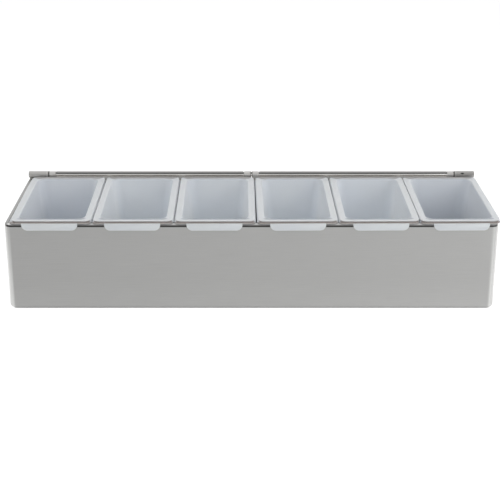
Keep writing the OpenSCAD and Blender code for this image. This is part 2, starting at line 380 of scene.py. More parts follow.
def shrunk(ring: np.ndarray, by: float) -> np.ndarray:
    """Draws a closed ring inwards by a small distance along its points' normals.

    A point's normal is at a right angle to the mean direction of the two segments it joins. The
    ring's signed area tells which way inwards is.

    Args:
        ring: the ring's points.
        by: the distance.

    Returns:
        The smaller ring.
    """
    after = np.roll(ring, -1, 0) - ring
    after /= np.linalg.norm(after, axis=1)[:, None]
    mean = np.roll(after, 1, 0) + after
    mean /= np.linalg.norm(mean, axis=1)[:, None]
    turned = np.sum(ring[:, 0] * np.roll(ring[:, 1], -1) - ring[:, 1] * np.roll(ring[:, 0], -1))
    return ring + math.copysign(by, turned) * np.column_stack([-mean[:, 1], mean[:, 0]])


def swept(ring: np.ndarray, x0: float, x1: float, edge: float, tints: object = 1.0,
          seams: tuple = (1.0, 1.0)) -> Body:
    """Draws a section (y, z) out along X, with its two ends rounded a little.

    An end is a quarter circle: a ring lies in from the end by the radius times one less the
    cosine of its angle, and is drawn inwards by the radius times one less the sine.

    Args:
        ring: points round the section.
        x0: where it starts.
        x1: where it ends.
        edge: radius of the rounding at its ends.
        tints: tints of the ring's points.
        seams: the painted shade that darkens the seam at its start and the one at its end.

    Returns:
        The body, brushed along X.
    """
    stations = []
    for x, inwards in ((x0, 1), (x1, -1)):
        a = np.radians([0, 30, 60, 90]) if inwards > 0 else np.radians([90, 60, 30, 0])
        rounded = [(x + inwards * edge * (1 - math.cos(t)), edge * (1 - math.sin(t))) for t in a]
        held = [(x + inwards * reach, 0.0) for reach in (SEAM_ENDS, SEAM_FADES)]
        stations += rounded + held if inwards > 0 else held[::-1] + rounded
    rings = [np.column_stack([np.full(len(ring), x), shrunk(ring, by)]) for x, by in stations]
    along = np.array([x for x, _ in stations])
    halfway = (SEAM_ENDS + SEAM_FADES) / 2
    dark = np.where(along - x0 < halfway, seams[0], 1.0) * np.where(x1 - along < halfway, seams[1], 1.0)
    tints = np.broadcast_to(tints, (len(ring), 3))[None] * dark[:, None, None]
    return lofted(rings, along_stack=True, tints=tints)


# ---- finishes -------------------------------------------------------------


class Grain(Enum):
    """What a finish's grain follows: the brushing coordinates of a new piece, or the piece's X."""

    ALONG_SHEET = "UV"
    ALONG_X = "Object"


class NodeTree:
    """A small helper that adds and joins the nodes of a material or of the world."""

    def __init__(self, owner: bpy.types.ID, shader: str = "Principled BSDF") -> None:
        """Takes hold of a new material's or world's nodes.

        Args:
            owner: the material or the world.
            shader: its main shader.
        """
        owner.use_nodes = True
        self.owner = owner
        self.tree = owner.node_tree
        self.shader = self.tree.nodes[shader]

    @staticmethod
    def material(name: str) -> "NodeTree":
        """The nodes of a new material of that name."""
        return NodeTree(bpy.data.materials.new(name))

    def add(self, kind: str, **settings: object) -> bpy.types.Node:
        """Adds a node.

        Args:
            kind: the node's type.
            settings: a value or a link for each socket of that name, and for any other name a property.

        Returns:
            The node.
        """
        node = self.tree.nodes.new(kind)
        for key, value in settings.items():
            label = key.replace("_", " ").title()
            if label in node.inputs:
                self.give(node.inputs[label], value)
            else:
                setattr(node, key, value)
        return node

    def give(self, target: bpy.types.NodeSocket, value: object) -> None:
        """Links a socket to another, or sets it to a value.

        Args:
            target: the socket.
            value: the other socket, or the value.
        """
        if isinstance(value, bpy.types.NodeSocket):
            self.tree.links.new(value, target)
        else:
            target.default_value = value

    def fix(self, **values: object) -> None:
        """Sets or links the main shader's sockets.

        Args:
            values: a value or a socket for each of the shader's sockets, named in lower case.
        """
        short = {"ior": "IOR", "specular": "Specular IOR Level"}
        for key, value in values.items():
            label = short.get(key, key.replace("_", " ").title())
            self.give(self.shader.inputs[label], value)

    def place(self, kind: str = "Object") -> bpy.types.NodeSocket:
        """Coordinates of that kind."""
        return self.add("ShaderNodeTexCoord").outputs[kind]

    def noise(self, source: bpy.types.NodeSocket, scale: float, detail: float) -> bpy.types.NodeSocket:
        """Adds a cloud of that scale over the given coordinates, and returns its value."""
        return self.add("ShaderNodeTexNoise", vector=source, scale=scale, detail=detail,
                        roughness=0.6).outputs["Fac"]

    def between(self, source: bpy.types.NodeSocket, low: float, high: float,
                start: float = 0.3, stop: float = 0.7) -> bpy.types.NodeSocket:
        """Stretches a value's range evenly onto another, and holds it there.

        Args:
            source: the value's socket.
            low: the result at the start of the range.
            high: the result at its end.
            start: the start of the range. Most of a cloud lies between the two defaults.
            stop: its end.

        Returns:
            The result's socket.
        """
        return self.add("ShaderNodeMapRange", value=source, from_min=start, from_max=stop,
                        to_min=low, to_max=high).outputs["Result"]

    def mixed(self, weight: object, first: object, second: object,
              blend: str = "MIX") -> bpy.types.NodeSocket:
        """Mixes two colours. All three of the first values may be sockets.

        Args:
            weight: how much of the second colour there is.
            first: the first colour.
            second: the second colour.
            blend: how they are mixed.

        Returns:
            The result's socket.
        """
        node = self.add("ShaderNodeMix", data_type="RGBA", blend_type=blend)
        for place, value in ((0, weight), (6, first), (7, second)):
            self.give(node.inputs[place], value)
        return node.outputs[2]

    def levels(self, light: float, seen: float, mirrored: bpy.types.NodeSocket) -> bpy.types.NodeSocket:
        """One strength for light, one for what the camera sees, and one for reflections and clear matter.

        Args:
            light: the strength of the light itself.
            seen: the strength that the camera sees.
            mirrored: the strength in reflections.

        Returns:
            The socket with the strength.
        """
        path = self.add("ShaderNodeLightPath")
        level = light
        for ray, strength in (("Glossy", mirrored), ("Transmission", mirrored), ("Camera", seen)):
            chosen = self.add("ShaderNodeMix")
            for place, value in ((0, path.outputs[f"Is {ray} Ray"]), (2, level), (3, strength)):
                self.give(chosen.inputs[place], value)
            level = chosen.outputs[0]
        return level

    def tinted(self, source: bpy.types.NodeSocket) -> None:
        """Multiplies a colour by the piece's tints and makes it the main shader's colour."""
        # The tints are the piece's painted light and shade.
        tint = self.add("ShaderNodeAttribute", attribute_name=TINT).outputs["Color"]
        self.fix(base_color=self.mixed(1.0, source, tint, "MULTIPLY"))

    def bump(self, source: bpy.types.NodeSocket, strength: float, height_mm: float) -> None:
        """Lets a cloud raise the surface by up to a height in millimetres."""
        node = self.add("ShaderNodeBump", strength=strength, distance=height_mm * MM, height=source)
        self.fix(normal=node.outputs["Normal"])


@dataclass(frozen=True)
class BrushedSteel:
    """Stainless sheet brushed one way: long fine grain, faint clouds and drawn-out highlights."""

    name: str
    tone: float = 0.55
    grain: Grain = Grain.ALONG_SHEET
    roughness: float = 0.36
    anisotropy: float = 0.75
    uneven: float = 0.05
    warmth: float = 0.985
    drawn_out: tuple = (30.0, 3600.0, 3600.0)

    def make(self) -> bpy.types.Material:
        """Builds the material.

        The grain is a cloud drawn out along the brushing; it changes the colour, the roughness
        and the height. A second, wide cloud changes the roughness a little more.

        Returns:
            The finished material.
        """
        nodes = NodeTree.material(self.name)
        drawn = nodes.add("ShaderNodeMapping", vector=nodes.place(self.grain.value), scale=self.drawn_out)
        fine = nodes.noise(drawn.outputs["Vector"], 1.0, 3.0)
        wide = nodes.noise(nodes.place(), 14.0, 2.0)
        low, high = ((tone, tone, tone * self.warmth, 1)
                     for tone in (self.tone * (1 - self.uneven), self.tone * (1 + self.uneven)))
        steel = nodes.mixed(nodes.between(fine, 0.0, 1.0), low, high)
        rough = nodes.add("ShaderNodeMath", operation="ADD")
        nodes.give(rough.inputs[0], nodes.between(fine, self.roughness - 0.04, self.roughness + 0.04))
        nodes.give(rough.inputs[1], nodes.between(wide, -0.02, 0.02))
        nodes.fix(metallic=1.0, roughness=rough.outputs[0])
        nodes.bump(fine, 0.15, 0.01)
        if self.grain is Grain.ALONG_SHEET:
            nodes.tinted(steel)
            tangent = nodes.add("ShaderNodeTangent", direction_type="UV_MAP", uv_map=GRAIN_MAP)
            nodes.fix(anisotropic=self.anisotropy, anisotropic_rotation=0.25, tangent=tangent.outputs[0])
        else:
            nodes.fix(base_color=steel)
        return nodes.owner


@dataclass(frozen=True)
class MilkyPlastic:
    """Translucent white polypropylene: soft depth, a satin skin and faint mould texture."""

    name: str
    colour: tuple
    roughness: float = 0.36
    depth: float = 0.0012
    inner: float = 1.0

    def make(self) -> bpy.types.Material:
        """Builds the material: a wide cloud of tone, and a fine one of roughness and height.

        Returns:
            The finished material.
        """
        nodes = NodeTree.material(self.name)
        tone = nodes.between(nodes.noise(nodes.place(), 22.0, 3.0), 0.0, 1.0)
        nodes.tinted(nodes.mixed(tone, (*(c * 0.97 for c in self.colour), 1), (*self.colour, 1)))
        texture = nodes.noise(nodes.place(), 1400.0, 2.0)
        nodes.bump(texture, 0.1, 0.03)
        nodes.fix(roughness=nodes.between(texture, self.roughness - 0.05, self.roughness + 0.05),
                  subsurface_weight=self.inner, subsurface_radius=(1.0, 1.0, 1.0),
                  subsurface_scale=self.depth, ior=1.49)
        return nodes.owner


# ---- pieces ---------------------------------------------------------------


@dataclass
class Piece:
    """A piece that stands in a CAD node's place."""

    node: str
    slot: str
    rides_on: str = "housing"

    def body(self) -> Body:
        """Works out the piece's surface."""
        raise NotImplementedError

    def build(self) -> bpy.types.Object:
        """Builds the piece, rides it on its body and takes its CAD node's place.

        Returns:
            The piece's object.
        """
        made = self.body().make(f"{self.node}_finished")
        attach(made, self.rides_on)
        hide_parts(self.node)
        return made

    def dress(self, made: bpy.types.Object, finish: bpy.types.Material) -> None:
        """Gives the piece its finish."""
        made.data.materials.append(finish)


@dataclass
class Housing(Piece):
    """The folded steel tray: one closed sheet with folds along its top and bottom edges."""

    node: str = "housing"
    slot: str = "housing_steel"
    sizes: Sizes = Sizes()
    front_corner: float = 7.5
    rear_corner: float = 3.3
    fold: float = 2.8
    ledge_front: float = 3.2
    ledge_side: float = 4.4
    ledge_rear: float = 10.6
    foot: float = 6.4
    edge: float = 0.2
    steps: int = 14
    fold_steps: int = 6
    hold: float = 0.4
    # Painted highlights on the upright corners and painted light on the foot:
    painted_highlight: float = 1.58
    painted_highlight_at: tuple = ((46, 0.72), (134, 1.0), (227, 1.0), (314, 0.72))
    painted_highlight_spread: float = 22.0
    foot_painted_light: float = 1.06
    foot_reach: float = 26.0
    # Painted shade under the inserts' front edge and on the ledge's left-hand fold, and painted light
    # that grows along X:
    line_shade: float = 0.11
    line_low: float = 0.88
    line_high: float = 1.7
    line_spread: float = 40.0
    tone_fade: float = 0.6
    left_shade: float = 0.6
    left_spread: float = 50.0
    painted_light_rightwards: float = 0.06

    def outline(self, inset: float, z: float) -> Outline:
        """The wall's outline. Its corners' radii are the outside's less the inset.

        Args:
            inset: an even distance in from the wall's outside.
            z: the height.

        Returns:
            The outline.
        """
        half, deep = self.sizes.length / 2 - inset, self.sizes.depth / 2 - inset
        front, rear = max(self.front_corner - inset, 0.3), max(self.rear_corner - inset, 0.3)
        return Outline(-half, half, -deep, deep, z, front, rear)

    def ledge(self, grow: float, z: float) -> Outline:
        """The outline of the ledge's inner edge.

        Args:
            grow: an even distance that it is drawn back outwards.
            z: the height.

        Returns:
            The outline.
        """
        half, deep = self.sizes.length / 2 - self.ledge_side + grow, self.sizes.depth / 2 + grow
        radius = self.ledge_front + grow
        return Outline(-half, half, self.ledge_front - deep, deep - self.ledge_rear, z, radius, radius)

    def section(self) -> list:
        """The sheet's section: two quarter circles of the fold's radius, with straight runs between.

        The inside's quarter circles share the outside's centres, and are a sheet smaller.

        Returns:
            Outlines, from the foot up the sheet's outside and down its inside.
        """
        sheet, low, high = self.sizes.sheet, self.sizes.sheet, self.sizes.height
        outer_low = arc_rows((self.fold, low + self.fold), self.fold, 270, 180, self.fold_steps)
        outer_high = arc_rows((self.fold, high - self.fold), self.fold, 180, 90, self.fold_steps)
        inner_high = arc_rows((self.fold, high - self.fold), self.fold - sheet, 90, 180, self.fold_steps)
        inner_low = arc_rows((self.fold, low + self.fold), self.fold - sheet, 180, 270, self.fold_steps)
        foot, edge, hold = self.foot, self.edge, self.hold
        outside = [(foot, low + edge), (foot - edge, low), (self.fold + hold, low), *outer_low,
                   (0, low + self.fold + hold), (0, low + self.fold + self.foot_reach),
                   (0, high - self.fold - self.line_low), (0, high - self.fold - hold), *outer_high]
        inside = [*inner_high, (sheet, high - self.fold - hold), (sheet, low + self.fold + hold),
                  *inner_low, (foot - edge, low + sheet), (foot, low + sheet - edge)]
        lip = [(edge, high), (0, high - edge), (0, high - sheet + edge), (edge, high - sheet)]
        return ([self.outline(*row) for row in outside] + [self.ledge(*row) for row in lip]
                + [self.outline(*row) for row in inside])

    def tints(self) -> np.ndarray:
        """The painted light and shade on each ring's points.

        Painted highlights make the upright corners bright and painted light makes the foot a little
        lighter. A painted shade line runs under the inserts' front edge, painted shade darkens the
        ledge's left-hand fold, and painted light makes the whole sheet lighter in step with X.

        Returns:
            One tint for each point of each ring.
        """
        z = np.array([row.z for row in self.section()])
        start = self.sizes.height - self.fold
        from_below = (z - start + self.line_low) / (self.line_low - self.hold)
        from_above = (start + self.line_high - z) / self.tone_fade
        line = np.clip(np.minimum(from_below, from_above), 0, 1)
        wall = np.clip((start - z) / self.fold, 0, 1)
        foot = np.clip(1 - (z - self.fold) / self.foot_reach, 0, 1)
        top = np.clip((z - start) / self.tone_fade, 0, 1)
        corners = sum(much * Outline.facing(self.steps, degrees, self.painted_highlight_spread)
                      for degrees, much in self.painted_highlight_at)
        in_front = Outline.facing(self.steps, Way.FRONT, self.line_spread)
        at_left = Outline.facing(self.steps, Way.LEFT, self.left_spread)
        across = self.outline(0, 0).ring(self.steps, self.hold)[:, 0] / (0.5 * self.sizes.length)
        # Painted highlights, painted light and painted shade, one after another.
        tints = tinted(wall[:, None] * corners, self.painted_highlight)
        tints *= tinted(foot, self.foot_painted_light)[:, None]
        tints *= tinted(line[:, None] * in_front, self.line_shade)
        tints *= tinted(top[:, None] * at_left, self.left_shade)
        return tints * (1 + self.painted_light_rightwards * across)[:, None]

    def body(self) -> Body:
        """Carries the sheet's section round the housing."""
        rings = [row.ring(self.steps, self.hold) for row in self.section()]
        return lofted(rings, closes=True, tints=self.tints())


class Side(IntEnum):
    """The side of the caddy that a piece is made for."""

    LEFT = -1
    RIGHT = 1


@dataclass
class Ear(Piece):
    """A leaf on the rear wall, rolled forwards over the rod.

    Its roll's painted light and shade are pairs of an angle and a brightness. Its seam's painted
    shade and highlight are pairs of a distance from the seam to the lid's knuckle and a brightness.
    """

    slot: str = "hinge_steel"
    side: Side = Side.RIGHT
    sizes: Sizes = Sizes()
    leaf: float = 30.0
    edge: float = 0.2
    station: float = 0.35
    slot_at: float = 0.0
    slot_half: tuple = (2.3, 0.85)
    slot_angle: float = 149.0
    slot_depth: float = 0.6
    # Painted shade in the slot, painted shade and highlight by the seam, and painted light and shade
    # round the roll:
    slot_shade: float = 0.03
    seam_painted_light: tuple = ((0.6, 0.45), (0.9, 1.25), (1.6, 1.25), (2.4, 1.0))
    roll: tuple = ((80, 0.88), (127, 0.94), (148, 0.72), (167, 0.78),
                   (187, 1.55), (211, 1.35), (260, 1.0))

    def punched(self, x: float, ring: np.ndarray) -> tuple:
        """Sinks the points of one station that lie in the roll's small slot, and tones them all.

        The slot is an ellipse on the roll's outside: full depth in the middle two thirds of its
        half lengths, and rising evenly to nothing at its rim.

        Args:
            x: the station's place along the ear.
            ring: the section's points (y, z) from the rod's centre.

        Returns:
            The moved points and their tints.
        """
        reach = np.linalg.norm(ring, axis=1)
        angle = np.arctan2(ring[:, 1], ring[:, 0]) % (2 * np.pi)
        along = (x - self.slot_at) / self.slot_half[0]
        across = (angle - math.radians(self.slot_angle)) * reach / self.slot_half[1]
        on_skin = (reach > self.sizes.bore + 0.9 * self.sizes.ear_sheet) & (self.slot_at > 0)
        sunk = on_skin * np.clip(3.0 - 3.0 * np.hypot(along, across), 0, 1)
        moved = ring * (1 - self.slot_depth * sunk / reach)[:, None]
        # Painted shade at the seam and a painted highlight beside it.
        to_seam = self.sizes.ear_length - x if self.side is Side.LEFT else x
        seam_painted_light = np.interp(to_seam, *zip(*self.seam_painted_light))
        return moved, painted_light_round(ring, self.roll) * tinted(sunk, self.slot_shade) * seam_painted_light

    def body(self) -> Body:
        """Sweeps the leaf's section along the rod.

        The leaf's foot rises at both ends in a quarter circle: its height there is the radius
        times one less the sine of the angle.

        Returns:
            The ear's body, in its place.
        """
        sizes = self.sizes
        corner = sizes.ear_length / 4
        middle = sizes.bore + sizes.ear_sheet / 2
        roll = arc_rows((0, 0), middle, 0, sizes.knuckle_wrap, 60)
        turns = np.linspace(0, 0.5 * np.pi, 9)
        rises = [(corner * (1 - math.cos(t)), corner * (1 - math.sin(t)), 0.0) for t in turns]
        ends = [(self.edge * k, rises[0][1], self.edge * (1 - k)) for k in (0.0, 0.3)]
        ends += [(max(x, self.edge), rise, by) for x, rise, by in rises]
        inner = np.arange(ends[-1][0] + self.station, sizes.ear_length - corner, self.station)
        stations = ends + [(x, 0.0, 0.0) for x in inner]
        stations += [(sizes.ear_length - x, rise, by) for x, rise, by in ends[::-1]]
        rings, tints = [], []
        for x, rise, by in stations:
            path = np.vstack([[(middle, rise - self.leaf)], roll])
            ring, tint = self.punched(x, shrunk(sheet_ring(path, sizes.ear_sheet, self.edge), by))
            rings.append(np.column_stack([np.full(len(ring), x), ring]))
            tints.append(tint)
        body = lofted(rings, along_stack=True, tints=np.stack(tints))
        start = -sizes.ear_out if self.side is Side.LEFT else sizes.ear_out - sizes.ear_length
        body.points += (start, *sizes.axis)
        return body


@dataclass
class Rod(Piece):
    """The hinge rod, with its two ends broken."""

    node: str = "hinge_rod"
    slot: str = "rod_steel"
    sizes: Sizes = Sizes()
    chamfer: float = 0.6
    points: int = 72
    # Painted shade under the hoods and a painted highlight on the front:
    painted_hood_shadow: tuple = (0.145, 0.14, 0.135)
    painted_hood_shadow_at: tuple = (65.0, 92.0, 6.0)
    painted_highlight: tuple = (1.35, 1.28, 1.22)
    painted_highlight_at: tuple = (215.0, 49.0, 12.0)

    def tints(self, angles: np.ndarray) -> np.ndarray:
        """Painted shade on the part under the lids' hoods, and a warm painted highlight on the front
        below it.

        Args:
            angles: the points' angles in degrees, from the rear towards the top.

        Returns:
            One tint for each point.
        """
        under_hood, front_highlight = near(angles, *self.painted_hood_shadow_at), near(angles, *self.painted_highlight_at)
        return tinted(under_hood, self.painted_hood_shadow) * tinted(front_highlight, self.painted_highlight)

    def body(self) -> Body:
        """Stacks circles along the rod, smaller at its ends.

        Returns:
            The rod's body, in its place.
        """
        half, radius = self.sizes.ear_out, self.sizes.rod / 2
        a = np.linspace(0, 2 * np.pi, self.points, endpoint=False)
        circle = np.column_stack([np.zeros(self.points), np.cos(a), np.sin(a)])
        ends = [(half, radius - self.chamfer), (half - 0.5 * self.chamfer, radius - 0.15 * self.chamfer),
                (half - self.chamfer, radius)]
        stations = [(-x, r) for x, r in ends] + ends[::-1]
        tints = self.tints(np.degrees(a))
        body = lofted([circle * r + (x, 0, 0) for x, r in stations], along_stack=True, tints=tints)
        body.points += (0, *self.sizes.axis)
        return body


@dataclass
class Lid(Piece):
    """One flip lid: a flat top with folded flanges and a rolled rear edge, folded right back.

    It is worked out closed, with the rod's centre as its origin, and then turned. Its roll's
    painted light and shade are pairs of an angle and a brightness.
    """

    slot: str = "lid_steel"
    side: Side = Side.RIGHT
    sizes: Sizes = Sizes()
    table_gap: float = 0.5
    knuckle: float = 7.5
    knuckle_end: float = 140.0
    hood_wrap: float = 82.0
    relief: float = 0.6
    relief_depth: float = 5.5
    notch: float = 8.0
    notch_corner: float = 10.0
    middle_gap: float = 1.0
    lap: float = 1.9
    end_flange: float = 5.0
    end_flange_start: float = 24.0
    front_flange: float = 9.0
    finger_lip: float = 4.0
    fold: float = 1.6
    edge: float = 0.15
    # Painted shade by the hood's cut edge, over the hood and at the knuckles' seams, and painted light
    # and shade round the roll:
    cut_shade: tuple = (0.3, 0.29, 0.28)
    hood_shade: float = 0.68
    seam_shade: float = 0.45
    roll: tuple = ((80, 0.83), (127, 1.11), (140, 0.85), (156, 0.85),
                   (167, 1.11), (187, 1.25), (211, 1.4), (260, 1.0))

    @property
    def top(self) -> float:
        """Height of the closed lid's upper face above the rod's centre."""
        return self.sizes.lid_clear - self.sizes.rod_rise + self.sizes.lid_sheet

    @property
    def middle(self) -> float:
        """Height of the middle of the closed lid's sheet above the rod's centre."""
        return self.top - self.sizes.lid_sheet / 2

    @property
    def front(self) -> float:
        """Outer face of the front flange, in front of the rod's centre.

        It clears the pull tabs' faces, which lean out by the tab's height times the tangent of
        its flare.

        Returns:
            Its place along Y, which is negative.
        """
        sizes = self.sizes
        tab = (-sizes.depth / 2 - sizes.tab_play - sizes.tab_thickness
               - sizes.tab_height * math.tan(math.radians(sizes.tab_flare)))
        return tab - sizes.lid_clear - sizes.lid_sheet - sizes.axis[0]

    @property
    def turn(self) -> float:
        """How far the lid turns back, in radians, until its front edge is just above the table.

        That is half a turn, the angle of the closed lid's edge below the level, and the arcsine
        of the edge's drop over its distance from the rod's centre.

        Returns:
            The angle in radians.
        """
        reach = math.hypot(self.front, self.top)
        lean = math.atan2(-self.top, -self.front)
        return math.pi + lean + math.asin((self.sizes.axis[1] - self.table_gap) / reach)

    def turned_back(self, points: np.ndarray) -> np.ndarray:
        """Turns points about the rod's centre, from the closed lid to where it rests.

        Args:
            points: rows of y and z, from the rod's centre.

        Returns:
            The turned rows.
        """
        y, z = points.T
        return np.column_stack([y * math.cos(self.turn) + z * math.sin(self.turn),
                                z * math.cos(self.turn) - y * math.sin(self.turn)])

    def rolled(self, radius: float, rise: float, roll_end: float) -> np.ndarray:
        """Middle of the sheet from the roll's free end to the relief slots' depth.

        The flat top bends down into the roll: the two arcs' centres lie the sum of their radii
        apart, so they meet without a crease.

        Args:
            radius: the roll's inside radius.
            rise: height of its centre above the rod's.
            roll_end: angle of its free end in degrees, from the rear towards the top.

        Returns:
            Points (y, z).
        """
        half = self.sizes.lid_sheet / 2
        bend_z = self.top - self.fold
        bend_y = math.sqrt((radius + self.fold) ** 2 - (rise - bend_z) ** 2)
        join = math.degrees(math.atan2(rise - bend_z, bend_y))
        roll = arc_rows((0, rise), radius + half, roll_end, join - 180, 48)
        bend = arc_rows((-bend_y, bend_z), self.fold - half, join, 90, 8)
        return np.vstack([roll, bend[1:], [(-self.relief_depth, self.middle)]])

    def panel(self, x_in: float, x_out: float, x_notch: float) -> Body:
        """The flat top with its front flange and finger lip; its rear edge steps at the notch.

        Args:
            x_in: where it starts, near the middle of the caddy.
            x_out: where the end flange's fold starts.
            x_notch: where the notch starts.

        Returns:
            The panel's body, closed.
        """
        half, y_front = self.sizes.lid_sheet / 2, self.front + self.fold
        low = self.top - self.front_flange
        bend = arc_rows((y_front, self.top - self.fold), self.fold - half, 90, 180, 8)
        foot = arc_rows((self.front - self.fold + 2 * half, low + self.fold), self.fold - half, 0, -90, 8)
        tip = [(self.front - self.finger_lip, low + half)]
        corner = [(x_out - self.notch_corner, -self.notch), (x_out, -self.notch - self.notch_corner)]
        rear = [(x_in, -self.relief_depth, self.edge), (x_in + self.edge, -self.relief_depth, 0),
                (x_notch - 0.01, -self.relief_depth, 0), (x_notch, -self.notch, 0),
                (*corner[0], 0), (x_out, corner[1][1], 0)]
        rings = []
        for x, y, by in rear:
            path = np.vstack([[(y, self.middle)], bend, foot, tip])
            ring = shrunk(sheet_ring(path, 2 * half, self.edge), by)
            rings.append(np.column_stack([np.full(len(ring), x), ring]))
        return lofted(rings, along_stack=True)

    def side_flange(self, x_out: float) -> Body:
        """The end flange: a fold and a short wall along the lid's end.

        It is swept along X and then laid along Y, by swapping the two.

        Args:
            x_out: where the fold starts.

        Returns:
            The flange's body, closed.
        """
        half = self.sizes.lid_sheet / 2
        bend = arc_rows((x_out, self.top - self.fold), self.fold - half, 90, 0, 8)
        path = np.vstack([bend, [(x_out + self.fold - half, self.top - self.end_flange)]])
        ring = sheet_ring(path, 2 * half, self.edge)
        body = swept(ring, self.front + self.fold, -self.end_flange_start, self.edge)
        body.points = body.points[:, [1, 0, 2]]
        body.uvs = body.uvs[:, ::-1]
        return body

    def body(self) -> Body:
        """Joins the lid's strips, mirrors the left-hand one and turns it back.

        Returns:
            The lid's body, in its place.
        """
        sizes = self.sizes
        x_in = self.middle_gap / 2
        x_out = sizes.length / 2 + self.lap + sizes.lid_sheet - self.fold
        x_notch = sizes.ear_out - sizes.ear_length - sizes.knuckle_gap
        knuckle = self.rolled(sizes.bore, 0, self.knuckle_end)
        hood = self.rolled(sizes.hood, sizes.hood - sizes.bore, self.hood_wrap - 90)
        inner, outer = x_in + self.knuckle, x_notch - self.knuckle
        strips = [(knuckle, x_in, inner), (hood, inner + self.relief, outer - self.relief),
                  (knuckle, outer, x_notch)]
        parts = []
        for path, x0, x1 in strips:
            ring = sheet_ring(path, sizes.lid_sheet, self.edge)
            if path is hood:
                # Painted shade over the hood, deepest by its cut edge.
                near_cut = np.clip(1.5 - np.linalg.norm(ring - path[0], axis=1) / sizes.lid_sheet, 0, 1)
                tints = tinted(near_cut, self.cut_shade) * self.hood_shade
                parts.append(swept(ring, x0, x1, self.edge, tints))
            else:
                # Painted light and shade round the knuckles, and painted shade at their seams.
                tints = painted_light_round(self.turned_back(ring), self.roll)
                seams = (self.seam_shade, 1.0) if x0 == x_in else (1.0, self.seam_shade)
                parts.append(swept(ring, x0, x1, self.edge, tints, seams))
        body = Body.joined([*parts, self.panel(x_in, x_out, x_notch), self.side_flange(x_out)])
        body.points[:, 0] *= self.side
        body.points[:, 1:] = self.turned_back(body.points[:, 1:]) + sizes.axis
        return body


